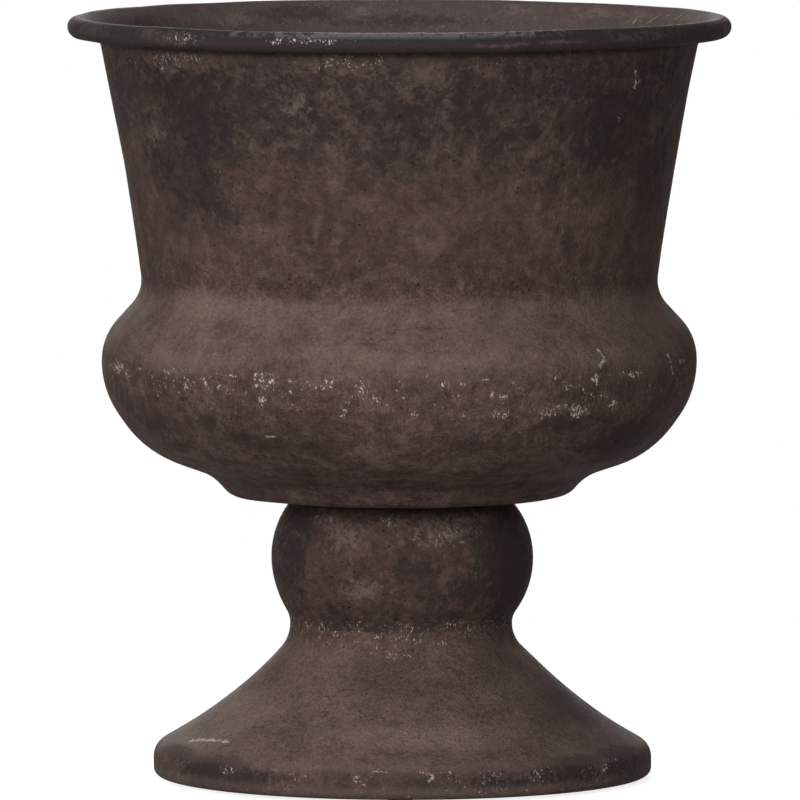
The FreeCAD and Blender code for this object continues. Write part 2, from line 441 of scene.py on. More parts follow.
def daylight(red, green, blue):
    """A colour on a scale to 255, as linear light."""
    def straighten(part):
        share = part / 255
        return share / 12.92 if share <= 0.04045 else ((share + 0.055) / 1.055) ** 2.4
    return (straighten(red), straighten(green), straighten(blue), 1.0)


print("a mid brown in linear light:", [round(part, 3) for part in daylight(74, 58, 54)])

# %% [markdown]
# ## Shared effects as node groups
# The coat is one recipe: clouds of brown and charcoal, a sandy grain, pits, chips and dust. Each effect
# could be copied into every material, but a group is built once and placed with its own values. The
# groups read the vector they are given and put out masks and heights, never a finished shader.

# %% Group helpers
NUMBER = "NodeSocketFloat"
VECTOR = "NodeSocketVector"
COLOUR = "NodeSocketColor"


def new_group(name, inputs, outputs):
    """An empty shader group, with its input sockets to read and its output sockets to fill."""
    group = bpy.data.node_groups.new(name, "ShaderNodeTree")
    for label, kind, value in inputs:
        socket = group.interface.new_socket(label, in_out="INPUT", socket_type=kind)
        if value is not None:
            socket.default_value = value
    for label, kind in outputs:
        group.interface.new_socket(label, in_out="OUTPUT", socket_type=kind)
    return group, group.nodes.new("NodeGroupInput").outputs, group.nodes.new("NodeGroupOutput").inputs


def place_group(tree, group, vector, **values):
    """A placed copy of a group at a vector, its other inputs fed by name. Gives its outputs."""
    placed = tree.nodes.new("ShaderNodeGroup")
    placed.node_tree = group
    feed(tree, placed.inputs["Vector"], vector)
    for label, source in values.items():
        feed(tree, placed.inputs[label.replace("_", " ").title()], source)
    return placed.outputs


def mask_of(group):
    """A short way to place a group: a function that gives its mask."""
    def place(tree, where, **values):
        return place_group(tree, group, where, **values)["Mask"]
    return place


# %% [markdown]
# ### Cloud patches
# Antiquing paint is dabbed on with a sponge and wiped off, so it lies in clouds with ragged edges. Noise
# with many octaves gives the raggedness, a little swirl tears it into wisps, and a remap between two
# close levels turns it into patches.

# %% Cloud patches
patch_swirl = 0.6

cloud_patches, given, result = new_group(
    "cloud_patches",
    [("Vector", VECTOR, None), ("Size", NUMBER, 0.03), ("Start", NUMBER, 0.5), ("Softness", NUMBER, 0.06),
     ("Ragged", NUMBER, 0.7)],
    [("Mask", NUMBER)])
tree = cloud_patches
patch_scale = calculate(tree, "DIVIDE", 1.0, given["Size"])
patch_noise = noise(tree, given["Vector"], patch_scale, 6.0, given["Ragged"], patch_swirl)
patch_low = calculate(tree, "SUBTRACT", given["Start"], given["Softness"])
patch_high = calculate(tree, "ADD", given["Start"], given["Softness"])
feed(tree, result["Mask"], remap(tree, patch_noise, patch_low, patch_high))
patches = mask_of(cloud_patches)
print("group", cloud_patches.name)

# %% [markdown]
# ### Sandy grain
# The coat has fine sand in it, which catches raking light. Two sizes of noise together look less
# regular than one.

# %% Sandy grain
sandy_grain, given, result = new_group(
    "sandy_grain",
    [("Vector", VECTOR, None), ("Size", NUMBER, 0.0012)],
    [("Height", NUMBER), ("Shade", NUMBER)])
tree = sandy_grain
grain_scale = calculate(tree, "DIVIDE", 1.0, given["Size"])
coarse_grain = noise(tree, given["Vector"], grain_scale, 2.0)
fine_grain = noise(tree, given["Vector"], calculate(tree, "MULTIPLY", grain_scale, 2.1), 1.0)
grain_sum = calculate(tree, "ADD", coarse_grain, fine_grain)
feed(tree, result["Height"], grain_sum)
feed(tree, result["Shade"], remap(tree, grain_sum, 0.62, 1.38))
print("group", sandy_grain.name)

# %% [markdown]
# ### Scuff flecks
# Where the coat is chipped, small pale crumbs of primer show, a little taller than wide. They are the
# peaks of a small noise, and the amount lowers the level at which a peak shows, so a mask can gather
# them in bands. A larger noise holds the amount back between clumps, because chips come in handfuls.

# %% Scuff flecks
scuff_flecks, given, result = new_group(
    "scuff_flecks",
    [("Vector", VECTOR, None), ("Size", NUMBER, 0.002), ("Amount", NUMBER, 0.0)],
    [("Mask", NUMBER)])
tree = scuff_flecks
fleck_scale = calculate(tree, "DIVIDE", 1.0, given["Size"])
fleck_place = vector_step(tree, "MULTIPLY", given["Vector"], (1, 1, 0.6))
fleck_noise = noise(tree, fleck_place, fleck_scale, 3.0, 0.65)
clump_noise = noise(tree, given["Vector"], times(tree, fleck_scale, 0.19), 2.0, 0.6)
clumps = remap(tree, clump_noise, 0.38, 0.62, 0.60, 1.0)
fleck_level = calculate(tree, "SUBTRACT", 0.80, times(tree, given["Amount"], clumps, 0.29))
fleck_top = calculate(tree, "ADD", fleck_level, 0.06)
feed(tree, result["Mask"], remap(tree, fleck_noise, fleck_level, fleck_top))
flecks = mask_of(scuff_flecks)
print("group", scuff_flecks.name)

# %% [markdown]
# ### Pits
# Bubbles in the coat burst and leave black pinholes. A Voronoi pattern has one point in each cell, and
# only a share of the cells, picked by their own random value, keeps a pit.

# %% Pits
pin_pits, given, result = new_group(
    "pin_pits",
    [("Vector", VECTOR, None), ("Size", NUMBER, 0.004), ("Share", NUMBER, 0.2)],
    [("Mask", NUMBER)])
tree = pin_pits
cells = add_node(tree, "ShaderNodeTexVoronoi", feature="F1")
feed(tree, cells.inputs["Vector"], given["Vector"])
feed(tree, cells.inputs["Scale"], calculate(tree, "DIVIDE", 1.0, given["Size"]))
cell_parts = add_node(tree, "ShaderNodeSeparateColor")
feed(tree, cell_parts.inputs[0], cells.outputs["Color"])
kept_cell = calculate(tree, "LESS_THAN", cell_parts.outputs[0], given["Share"])
pit_reach = times(tree, cell_parts.outputs[1], 0.13)
pit_edge = calculate(tree, "ADD", pit_reach, 0.12)
pit_shape = remap(tree, cells.outputs["Distance"], pit_reach, pit_edge, 1.0, 0.0)
feed(tree, result["Mask"], times(tree, pit_shape, kept_cell))
pinholes = mask_of(pin_pits)
print("group", pin_pits.name)

# %% [markdown]
# ### Rings at a height
# Much of the wear follows the lathe: a worn seam, a dark groove, a dusty ledge. Each is a ring at one
# height, with soft edges that wander up and down.

# %% Rings
ring_noise_scale = 45.0

height_ring, given, result = new_group(
    "height_ring",
    [("Vector", VECTOR, None), ("Middle", NUMBER, 0.1), ("Half Width", NUMBER, 0.002),
     ("Feather", NUMBER, 0.003), ("Wander", NUMBER, 0.004)],
    [("Mask", NUMBER)])
tree = height_ring
ring_noise = noise(tree, given["Vector"], ring_noise_scale, 5.0, 0.68)
ring_shift = times(tree, calculate(tree, "SUBTRACT", ring_noise, 0.5), given["Wander"])
ring_height = calculate(tree, "ADD", split_place(tree, given["Vector"])["Z"], ring_shift)
ring_gap = calculate(tree, "ABSOLUTE", calculate(tree, "SUBTRACT", ring_height, given["Middle"]))
ring_reach = calculate(tree, "ADD", given["Half Width"], given["Feather"])
feed(tree, result["Mask"], remap(tree, ring_gap, given["Half Width"], ring_reach, 1.0, 0.0))
ring = mask_of(height_ring)
print("group", height_ring.name)

# %% [markdown]
# ### Local smudges and scratches
# Some marks sit at one place only, such as a thumb-sized patch of ochre or the trace of a knock. A
# smudge fades with the distance from its place, measured in its own reach along each axis. A scratch
# fades with the distance from a short line. Both take a torn value that breaks up their edge.

# %% Smudge group
local_smudge, given, result = new_group(
    "local_smudge",
    [("Vector", VECTOR, None), ("Place", VECTOR, None), ("Reach", VECTOR, (0.01, 0.02, 0.01)),
     ("Tear", NUMBER, 0.0)],
    [("Mask", NUMBER)])
tree = local_smudge
from_place = vector_step(tree, "SUBTRACT", given["Vector"], given["Place"])
in_reach = vector_step(tree, "DIVIDE", from_place, given["Reach"])
smudge_gap = calculate(tree, "ADD", vector_step(tree, "LENGTH", in_reach), given["Tear"])
feed(tree, result["Mask"], remap(tree, smudge_gap, 0.35, 1.05, 1.0, 0.0))
smudge = mask_of(local_smudge)
print("group", local_smudge.name)

# %% Scratch group
scratch_line, given, result = new_group(
    "scratch_line",
    [("Vector", VECTOR, None), ("Start", VECTOR, None), ("Run", VECTOR, (0.01, 0, 0)),
     ("Width", NUMBER, 0.0005), ("Tear", NUMBER, 0.0)],
    [("Mask", NUMBER)])
tree = scratch_line
from_start = vector_step(tree, "SUBTRACT", given["Vector"], given["Start"])
run_square = vector_step(tree, "DOT_PRODUCT", given["Run"], given["Run"])
along = calculate(tree, "DIVIDE", vector_step(tree, "DOT_PRODUCT", from_start, given["Run"]), run_square)
clamped = add_node(tree, "ShaderNodeClamp")
feed(tree, clamped.inputs["Value"], along)
nearest = add_node(tree, "ShaderNodeVectorMath", operation="SCALE")
feed(tree, nearest.inputs[0], given["Run"])
feed(tree, nearest.inputs["Scale"], clamped.outputs[0])
off_line = vector_step(tree, "SUBTRACT", from_start, nearest.outputs["Vector"])
off_length = vector_step(tree, "LENGTH", off_line)
scratch_gap = calculate(tree, "DIVIDE", off_length, given["Width"])
scratch_gap = calculate(tree, "ADD", scratch_gap, times(tree, given["Tear"], 3.0))
feed(tree, result["Mask"], remap(tree, scratch_gap, 0.5, 1.0, 1.0, 0.0))
cut_line = mask_of(scratch_line)
print("group", scratch_line.name)

# %% [markdown]
# ### Ledge dust
# Dust settles on what faces up. The surface normal says how far a spot faces up, and clouds keep the
# dust from lying evenly.

# %% Ledge dust
dust_cloud_scale = 60.0

ledge_dust, given, result = new_group(
    "ledge_dust",
    [("Vector", VECTOR, None), ("Start", NUMBER, 0.1), ("Full", NUMBER, 0.7)],
    [("Mask", NUMBER)])
tree = ledge_dust
up_facing = split_place(tree, add_node(tree, "ShaderNodeNewGeometry").outputs["Normal"])["Z"]
dust_slope = remap(tree, up_facing, given["Start"], given["Full"])
dust_noise = noise(tree, given["Vector"], dust_cloud_scale, 6.0, 0.7)
dust_clouds = remap(tree, dust_noise, 0.3, 0.7, 0.35, 1.0)
feed(tree, result["Mask"], times(tree, dust_slope, dust_clouds))
settled_dust = mask_of(ledge_dust)
print("group", ledge_dust.name)

# %% [markdown]
# ## The antiqued coat
# The ground of the coat is a chocolate brown that drifts to plum. Lighter umber was dabbed on, charcoal
# wiped over it in clouds, and the sponge left small torn flakes of every tone. Sand in the paint breaks
# all of it into grains. One group makes that ground, with inputs for how much of each a piece has.

# %% Coat colours
brown = daylight(71, 55, 50)
plum = daylight(65, 50, 48)
umber = daylight(88, 71, 65)
charcoal = daylight(46, 40, 39)
ochre = daylight(95, 79, 66)
dust = daylight(118, 101, 93)
primer = daylight(192, 180, 171)
soot = daylight(24, 20, 18)
bark = daylight(50, 40, 37)
rose = daylight(90, 73, 71)
print("the coat's brown in linear light:", [round(part, 3) for part in brown])

# %% Coat group: ground
antiqued_coat, given, result = new_group(
    "antiqued_coat",
    [("Vector", VECTOR, None), ("Umber", NUMBER, 0.5), ("Charcoal", NUMBER, 0.5), ("Ochre", NUMBER, 0.3),
     ("Flakes", NUMBER, 0.6), ("Pits", NUMBER, 0.10), ("Specks", NUMBER, 0.3), ("Grain", NUMBER, 1.0)],
    [("Color", COLOUR), ("Roughness", NUMBER), ("Height", NUMBER)])
tree = antiqued_coat
spot = given["Vector"]
drift = patches(tree, spot, size=0.07, start=0.5, softness=0.12)
ground = blend_colours(tree, drift, brown, plum)

umber_start = calculate(tree, "SUBTRACT", 0.66, times(tree, given["Umber"], 0.22))
umber_dabs = patches(tree, spot, size=0.024, start=umber_start, softness=0.09, ragged=0.74)
ground = lay(tree, ground, umber, 0.7, umber_dabs)

charcoal_start = calculate(tree, "SUBTRACT", 0.68, times(tree, given["Charcoal"], 0.26))
wiped = patches(tree, spot, size=0.036, start=charcoal_start, softness=0.05, ragged=0.74)
torn = patches(tree, spot, size=0.006, start=0.47, softness=0.08)
ground = lay(tree, ground, charcoal, wiped, between(tree, torn, 0.35, 0.9))

# %% Coat group: flakes
flake_tones = (
    (rose, 0.0052, 0.545, 0.50),
    (bark, 0.0064, 0.545, 0.55),
    (ochre, 0.0078, 0.560, 0.32),
    (charcoal, 0.0108, 0.545, 0.55),
)
for paint, size, start, share in flake_tones:
    flakes = patches(tree, spot, size=size, start=start, softness=0.045, ragged=0.64)
    ground = lay(tree, ground, paint, share, flakes, given["Flakes"])
ochre_dabs = patches(tree, spot, size=0.017, start=0.58, softness=0.05, ragged=0.72)
ground = lay(tree, ground, ochre, given["Ochre"], ochre_dabs)

# %% Coat group: grain, specks and pits
mottle_scale = 210.0

mottle = noise(tree, spot, mottle_scale, 5.0, 0.78)
grain = place_group(tree, sandy_grain, spot, size=0.0013)
grainy = tone(tree, ground, remap(tree, mottle, 0.25, 0.75, 0.64, 1.36))
grainy = tone(tree, grainy, between(tree, grain["Shade"], 0.76, 1.24))
ground = blend_colours(tree, given["Grain"], ground, grainy)
ground = lay(tree, ground, dust, 0.7, flecks(tree, spot, size=0.0013, amount=given["Specks"]))
pits = pinholes(tree, spot, size=0.0026, share=given["Pits"])
ground = lay(tree, ground, soot, 0.75, pits)
feed(tree, result["Color"], ground)

feed(tree, result["Roughness"], remap(tree, mottle, 0.25, 0.75, 0.62, 0.82))
coat_height = calculate(tree, "ADD", times(tree, grain["Height"], 0.55), times(tree, mottle, 0.9))
feed(tree, result["Height"], calculate(tree, "SUBTRACT", coat_height, pits))
print("group", antiqued_coat.name, len(antiqued_coat.nodes), "nodes")

# %% [markdown]
# ## A material starts the same way each time
# Every material reads Object coordinates, which stay with the piece when it moves, and ends in one
# Principled shader. A small class holds those two ends and the colour painted so far, so that each
# finish below shows only what is its own.

# %% A finish while it is painted


def dress(material, *pieces):
    """Give pieces this one material in place of what they had."""
    for piece in pieces:
        piece.data.materials.clear()
        piece.data.materials.append(material)


class Finish:
    """One material: its nodes, its Object coordinates, its shader and the colour painted so far."""

    def __init__(self, name, specular):
        self.material = bpy.data.materials.new(name)
        self.material.use_nodes = True
        self.tree = self.material.node_tree
        self.surface = self.tree.nodes["Principled BSDF"]
        self.surface.inputs["Specular IOR Level"].default_value = specular
        self.where = add_node(self.tree, "ShaderNodeTexCoord").outputs["Object"]
        self.colour = None

    def lay(self, paint, share, *masks):
        """Lay a paint over the colour, by a share, where every mask allows it."""
        self.colour = lay(self.tree, self.colour, paint, share, *masks)

    def tone(self, factor, share=1.0):
        """Make the colour lighter or darker by a factor, by a share."""
        self.colour = tone(self.tree, self.colour, factor, share)

    def complete(self, roughness, height, relief, *pieces):
        """Feed the shader its colour, roughness and relief, and dress pieces in the material."""
        bump = add_node(self.tree, "ShaderNodeBump")
        bump.inputs["Distance"].default_value = relief
        feed(self.tree, bump.inputs["Height"], height)
        feed(self.tree, self.surface.inputs["Normal"], bump.outputs["Normal"])
        feed(self.tree, self.surface.inputs["Base Color"], self.colour)
        feed(self.tree, self.surface.inputs["Roughness"], roughness)
        dress(self.material, *pieces)
        self.tell("on " + ", ".join(piece.name for piece in pieces))

    def tell(self, step):
        """Print how many nodes the material has after a step."""
        print(self.material.name, step + ":", len(self.tree.nodes), "nodes")


# %% [markdown]
# ## Marks at their places
# A mark that the picture shows is placed by its pixel: a ray from the camera through that pixel meets
# the metal at one point, and the mark is centred there. It then belongs to the metal and stays there
# when the planter is looked at from another side.

# %% The metal at a pixel
picture_pixels = 800
pixel_size = picture_width / picture_pixels
film_pixel = film_width / picture_pixels


def metal_at(across, down):
    """The point of the planter that shows at a pixel of the picture."""
    middle = picture_pixels / 2
    ray = Vector(((across - middle) * film_pixel, (middle - down) * film_pixel, -camera.data.lens))
    ray = (camera.matrix_world.to_3x3() @ ray).normalized()
    shapes = bpy.context.evaluated_depsgraph_get()
    hit, point, *_ = bpy.context.scene.ray_cast(shapes, camera.matrix_world.translation, ray)
    if not hit:
        raise ValueError("no metal at pixel %d, %d" % (across, down))
    return point


collar_pixel = (400, 300)
print("the metal on the collar's front:", [round(part, 4) for part in metal_at(*collar_pixel)])

# %% [markdown]
# ### A coat that takes marks
# Each of the four shells starts from the antiqued coat and then gets marks of its own. Smudges are given
# by the pixel of their middle and their half width and half height, scratches by the pixels of their two
# ends. A fine noise tears the edges, fully for chips and only a little for soft shade.

# %% A coat while it is painted
coat_specular = 0.02
coat_relief = 0.0008
mark_depth = 0.03
tear_scale = 330.0
tear_amount = 4.5
soft_edge = 0.3


class Coat(Finish):
    """A finish that starts from the antiqued coat and takes marks at their places."""

    def __init__(self, name):
        super().__init__(name, coat_specular)
        self.height = split_place(self.tree, self.where)["Z"]
        rough_edge = noise(self.tree, self.where, tear_scale, 5.0, 0.75)
        self.tear = times(self.tree, calculate(self.tree, "SUBTRACT", rough_edge, 0.5), tear_amount)

    def start(self, **amounts):
        """Begin with the antiqued coat, with an amount of each of its paints."""
        self.base = place_group(self.tree, antiqued_coat, self.where, **amounts)
        self.colour = self.base["Color"]

    def smudges(self, places, edge=1.0):
        """One mask for several smudges: pixel across, pixel down, half width and half height."""
        tear = times(self.tree, self.tear, edge)
        masks = []
        for across, down, wide, tall in places:
            reach = (wide * pixel_size, mark_depth, tall * pixel_size)
            masks.append(smudge(self.tree, self.where, place=metal_at(across, down), reach=reach, tear=tear))
        return highest(self.tree, *masks)

    def daub(self, paint, share, places, *masks, edge=1.0):
        """Lay a paint in smudges, where every mask allows it."""
        self.lay(paint, share, self.smudges(places, edge), *masks)

    def scratch(self, paint, share, lines, width, *masks, edge=1.0):
        """Lay a paint along scratches of a width in pixels, each given by the pixels of its two ends."""
        tear = times(self.tree, self.tear, edge)
        cuts = []
        for across, down, to_across, to_down in lines:
            begin = metal_at(across, down)
            run = metal_at(to_across, to_down) - begin
            cuts.append(cut_line(self.tree, self.where, start=begin, run=run, width=width * pixel_size,
                                 tear=tear))
        self.lay(paint, share, highest(self.tree, *cuts), *masks)

    def finish(self, *pieces, roughness=None):
        """Complete the coat on its pieces, with the roughness of its ground unless another is given."""
        if roughness is None:
            roughness = self.base["Roughness"]
        self.complete(roughness, self.base["Height"], coat_relief, *pieces)


# %% [markdown]
# ### Where a spot is and how it faces
# The bowl's inside and outside share one sheet, so a mark on one must not show through on the other. The
# way the surface faces tells them apart. The far side has more wear, all its own, because no mark of the
# picture lies there.

# %% Side and facing
turned_in = -0.25
far_side_full = 0.06


def outward_facing(tree, where):
    """How far the surface looks away from the planter's axis, from -1 to 1."""
    flat_place = vector_step(tree, "MULTIPLY", where, (1, 1, 0))
    facing = add_node(tree, "ShaderNodeNewGeometry").outputs["Normal"]
    return vector_step(tree, "DOT_PRODUCT", facing, vector_step(tree, "NORMALIZE", flat_place))


def far_side(tree, where):
    """Nought on the front half of the planter, one well behind its axis."""
    return remap(tree, split_place(tree, where)["Y"], 0.0, far_side_full)


def sponge_dabs(tree, where):
    """Small dabs that break up a patch of paint."""
    return patches(tree, where, size=0.0040, start=0.47, softness=0.07)


# %% [markdown]
# ## Collar, rim and shoulder
# The collar is darkest under the rim, where the charcoal was laid thickest, and painted shade darkens both
# ends there. The shoulder is dusty, with painted light on its left. The bead is nearly black, rubbed grey on
# its crest with a painted highlight there, with painted shade on its underside and in the dark groove below
# it. The inside of the bowl was sprayed more evenly, in plum. One material covers all of it, and masks by
# height, by distance from the axis and by the way a spot faces tell the zones apart.

# %% Collar finish: ground
dark_start, dark_full = 0.245, 0.328
wall_start, wall_full = 0.224, 0.250
streak_scale = 190.0

coat = Coat("collar_coat")
tree = coat.tree
where = coat.where
from_axis = vector_step(tree, "LENGTH", vector_step(tree, "MULTIPLY", where, (1, 1, 0)))
facing_up = split_place(tree, add_node(tree, "ShaderNodeNewGeometry").outputs["Normal"])["Z"]
outward = outward_facing(tree, where)
inside = remap(tree, outward, turned_in, 0.0, 1.0, 0.0)
outside = remap(tree, outward, turned_in, 0.0)
dabs = sponge_dabs(tree, where)
near_rim = remap(tree, coat.height, dark_start, dark_full)
on_wall = remap(tree, coat.height, wall_start, wall_full)
coat.start(charcoal=between(tree, near_rim, 0.16, 0.90), umber=between(tree, near_rim, 0.65, 0.20),
           flakes=between(tree, near_rim, 0.55, 0.95), grain=between(tree, on_wall, 0.95, 0.52), ochre=0.20)
streaks = noise(tree, vector_step(tree, "MULTIPLY", where, (1.0, 1.0, 0.10)), streak_scale, 4.0, 0.65)
coat.tone(remap(tree, streaks, 0.3, 0.7, 0.92, 1.08), on_wall)
coat.tell("with its ground")

# %% Collar finish: inside of the bowl
inside_plum = daylight(88, 77, 75)
chip_size = 0.0008
inner_charcoal_spots = [(300, 14, 60, 10), (410, 22, 90, 9), (150, 22, 30, 8)]
inner_bloom_spots = [
    (518, 8, 20, 7), (590, 12, 30, 8), (636, 16, 20, 8), (235, 20, 26, 8), (362, 10, 26, 6),
    (690, 20, 16, 6),
]
inner_rose_spots = [
    (112, 20, 28, 8), (165, 20, 22, 7), (345, 13, 20, 6), (640, 14, 34, 7), (560, 20, 24, 6),
]

coat.lay(inside_plum, 0.62, inside)
coat.daub(charcoal, 0.56, inner_charcoal_spots, inside)
coat.daub(dust, 0.40, inner_bloom_spots, inside, dabs)
coat.daub(rose, 0.38, inner_rose_spots, inside)
coat.lay(primer, 0.34, flecks(tree, where, size=chip_size, amount=times(tree, inside, 0.62)))
coat.tell("with the inside of the bowl")

# %% Collar finish: shoulder dust
shoulder_height = 0.2140
left_ledge_dust_and_light_spots = [(205, 304, 100, 22), (180, 364, 74, 16)]
front_ledge_spots = [(400, 372, 150, 26)]

on_shoulder = ring(tree, where, middle=shoulder_height, half_width=0.012, feather=0.023, wander=0.010)
coat.lay(dust, 0.44, settled_dust(tree, where, start=-0.12, full=0.40), on_shoulder)
# Dust and painted light: the left of the shoulder is laid paler, where the light falls on it.
coat.daub(dust, 0.28, left_ledge_dust_and_light_spots, edge=soft_edge)
coat.daub(dust, 0.13, front_ledge_spots, edge=soft_edge)
shoulder_sand = place_group(tree, sandy_grain, where, size=0.0017)["Shade"]
coat.tone(between(tree, shoulder_sand, 0.84, 1.16), on_shoulder)
coat.tell("with the shoulder's dust")

# %% Collar finish: charcoal and painted shade under the rim
rim_charcoal_spots = [
    (132, 92, 24, 36), (250, 108, 44, 30), (490, 92, 34, 18), (575, 84, 30, 20), (605, 110, 50, 22),
    (600, 150, 34, 22), (195, 112, 54, 44), (212, 150, 40, 22), (400, 112, 40, 12), (210, 190, 28, 32),
    (226, 216, 22, 16), (377, 158, 22, 16),
]
painted_left_shade_spots = [(186, 108, 96, 76), (185, 180, 70, 60), (170, 60, 70, 16)]
painted_right_shade_spots = [(622, 118, 62, 70), (652, 180, 30, 60)]

coat.daub(charcoal, 0.62, rim_charcoal_spots, outside)
# Painted shade: both ends of the collar under the rim are laid darker, charcoal on the left and bark on the
# right, then toned down.
for paint, spots in ((charcoal, painted_left_shade_spots), (bark, painted_right_shade_spots)):
    shade = times(tree, outside, coat.smudges(spots, soft_edge))
    coat.lay(paint, 0.32, shade)
    coat.tone(between(tree, shade, 1.0, 0.84))
coat.tell("with charcoal under the rim")

# %% Collar finish: wear under the rim
under_bead_height = 0.3325
rim_chip_height = 0.3310
rim_ochre_spots = [
    (182, 61, 26, 12), (212, 60, 18, 11), (345, 66, 40, 12), (428, 78, 24, 18), (318, 60, 24, 10),
    (150, 60, 14, 9),
]
rim_bloom_spots = [(296, 106, 16, 14), (155, 134, 14, 8), (166, 62, 12, 14)]
rim_chip_spots = [(185, 56, 32, 8), (162, 62, 12, 10), (340, 62, 50, 8), (636, 80, 5, 14), (618, 118, 5, 8)]

under_bead = ring(tree, where, middle=under_bead_height, half_width=0.0010, feather=0.0025, wander=0.004)
coat.lay(umber, 0.30, under_bead)
coat.daub(ochre, 0.55, rim_ochre_spots, outside, dabs)
coat.daub(dust, 0.42, rim_bloom_spots, outside, dabs)
rim_ring = ring(tree, where, middle=rim_chip_height, half_width=0.0020, feather=0.005, wander=0.008)
rim_clusters = patches(tree, where, size=0.018, start=0.5, softness=0.10)
rim_amount = highest(tree, times(tree, rim_ring, rim_clusters, 0.84), coat.smudges(rim_chip_spots))
coat.lay(primer, 0.50, flecks(tree, where, size=chip_size, amount=rim_amount), outward)
coat.tell("with wear under the rim")

# %% Collar finish: the bead
bead_black = daylight(43, 42, 41)
bead_wear_and_highlight_grey = daylight(96, 94, 93)
bead_start, bead_full = 0.3352, 0.3360
bead_inner_radius, bead_outer_radius = 0.1400, 0.1412
rubbed_and_highlit_spots = [(390, 40, 190, 30)]
bead_umber_spots = [
    (170, 40, 34, 9), (92, 30, 22, 9), (150, 34, 14, 8), (640, 36, 30, 5), (716, 28, 14, 8),
]
bead_rose_spots = [(494, 46, 22, 2.5), (520, 44, 12, 3), (560, 42, 24, 2.5), (726, 29, 6, 7)]

bead_ring = remap(tree, coat.height, bead_start, bead_full)
bead = times(tree, bead_ring, remap(tree, outward, turned_in, 0.10),
             remap(tree, from_axis, bead_inner_radius, bead_outer_radius))
bead_clouds = patches(tree, where, size=0.020, start=0.46, softness=0.08)
# Wear and painted highlight: where the bead faces up at its crest it is rubbed grey, which also stands for
# the light falling on top.
rubbed_and_highlit = times(tree, bead, remap(tree, facing_up, 0.30, 0.85), coat.smudges(rubbed_and_highlit_spots))
coat.lay(bead_black, bead, between(tree, bead_clouds, 0.62, 0.96))
coat.lay(bead_wear_and_highlight_grey, 0.74, rubbed_and_highlit)
# Painted shade: soot darkens the underside of the bead.
coat.lay(soot, 0.25, bead, remap(tree, facing_up, 0.05, -0.75))
coat.lay(plum, 0.45, bead, remap(tree, facing_up, 0.30, -0.35), bead_clouds)
coat.daub(umber, 0.45, bead_umber_spots, bead, dabs)
coat.daub(rose, 0.6, bead_rose_spots, bead)
coat.tell("with the bead")

# %% Collar finish: bead chips, crest highlight and groove shade
crest_inner_radius, crest_outer_radius = 0.1405, 0.1425
groove_shade_height = 0.3350
bead_chip_spots = [(186, 39, 16, 7), (310, 41, 46, 3.5), (276, 42, 14, 3.5)]

bead_worn = highest(tree, coat.smudges(bead_chip_spots),
                    times(tree, far_side(tree, where), bead_clouds, 0.62))
bead_amount = times(tree, bead, between(tree, bead_worn, 0.30, 1.08))
coat.lay(primer, 0.70, flecks(tree, where, size=0.0007, amount=bead_amount))
# Wear and painted highlight: a thin pale line along the top of the crest, where it faces straight up.
crest = times(tree, bead_ring, remap(tree, from_axis, crest_inner_radius, crest_outer_radius),
              remap(tree, facing_up, 0.955, 0.99))
crest_wear_and_highlight = patches(tree, where, size=0.012, start=0.44, softness=0.12)
coat.lay(dust, crest, between(tree, crest_wear_and_highlight, 0.12, 0.60))
# Painted shade: soot in the groove under the bead.
groove_shade = ring(tree, where, middle=groove_shade_height, half_width=0.0006, feather=0.0014, wander=0.0006)
coat.lay(soot, 0.32, groove_shade, remap(tree, outward, 0.0, 0.3))
coat.tell("with crest and groove")

# %% [markdown]
# ### Chips along the girth seam
# The seam at the girth is the widest place and takes the knocks, on the collar above it and on the belly
# below. So both get their chips from one function: clumps all round, more of them on the far side, and
# the chips that the picture shows.

# %% Seam wear
girth_height = 0.1875
girth_chip_spots = [
    (118, 367, 15, 8), (140, 369, 3, 2), (170, 371, 7, 4), (191, 371, 3, 3), (189, 384, 6, 8),
    (206, 386, 4, 7), (222, 387, 6, 3), (233, 376, 4, 2), (265, 379, 12, 9), (254, 386, 8, 4),
    (293, 381, 9, 4), (307, 382, 3, 4), (326, 385, 11, 9), (260, 402, 6, 7), (359, 390, 7, 6),
    (374, 398, 4, 3), (404, 385, 6, 4), (405, 397, 4, 3), (427, 379, 3, 5), (443, 384, 4, 3),
    (463, 385, 10, 5), (486, 380, 5, 2), (492, 397, 4, 5), (504, 397, 7, 5), (416, 416, 5, 7),
    (462, 414, 6, 4), (484, 416, 3, 2), (503, 414, 13, 6), (566, 386, 5, 7), (563, 407, 6, 6),
    (545, 413, 13, 9), (579, 410, 12, 10), (344, 413, 5, 6), (596, 377, 7, 7), (599, 398, 4, 9),
    (633, 374, 14, 4), (683, 361, 6, 3), (614, 405, 7, 9),
]


def wear_seam(coat, seam_ring, outside, front, behind, chipped, dusty, bare):
    """Chip a coat along the girth: how much in front, behind and at the chips, and how pale it gets."""
    tree = coat.tree
    chips = coat.smudges(girth_chip_spots)
    clusters = patches(tree, coat.where, size=0.022, start=0.48, softness=0.10)
    all_round = between(tree, far_side(tree, coat.where), front, behind)
    amount = highest(tree, times(tree, seam_ring, clusters, all_round), times(tree, chips, chipped))
    coat.lay(dust, dusty, outside, chips)
    coat.lay(primer, bare, outside, flecks(tree, coat.where, size=0.0009, amount=amount))


seam_ring = ring(tree, where, middle=girth_height, half_width=0.0015, feather=0.006, wander=0.010)
wear_seam(coat, seam_ring, outside, front=0.80, behind=1.10, chipped=1.25, dusty=0.20, bare=0.78)
coat.tell("with a worn seam")

# %% Collar finish: scratches and polish
knock_ends = [(598, 350, 604, 358), (604, 358, 600, 367), (668, 355, 673, 379), (636, 72, 635, 88)]
inner_knock_ends = [(646, 24, 660, 15), (660, 22, 670, 14), (672, 22, 682, 15), (634, 22, 640, 16)]
dark_line_ends = [(407, 329, 428, 328), (436, 329, 450, 328), (553, 315, 556, 316)]
polish_roughness = 0.38

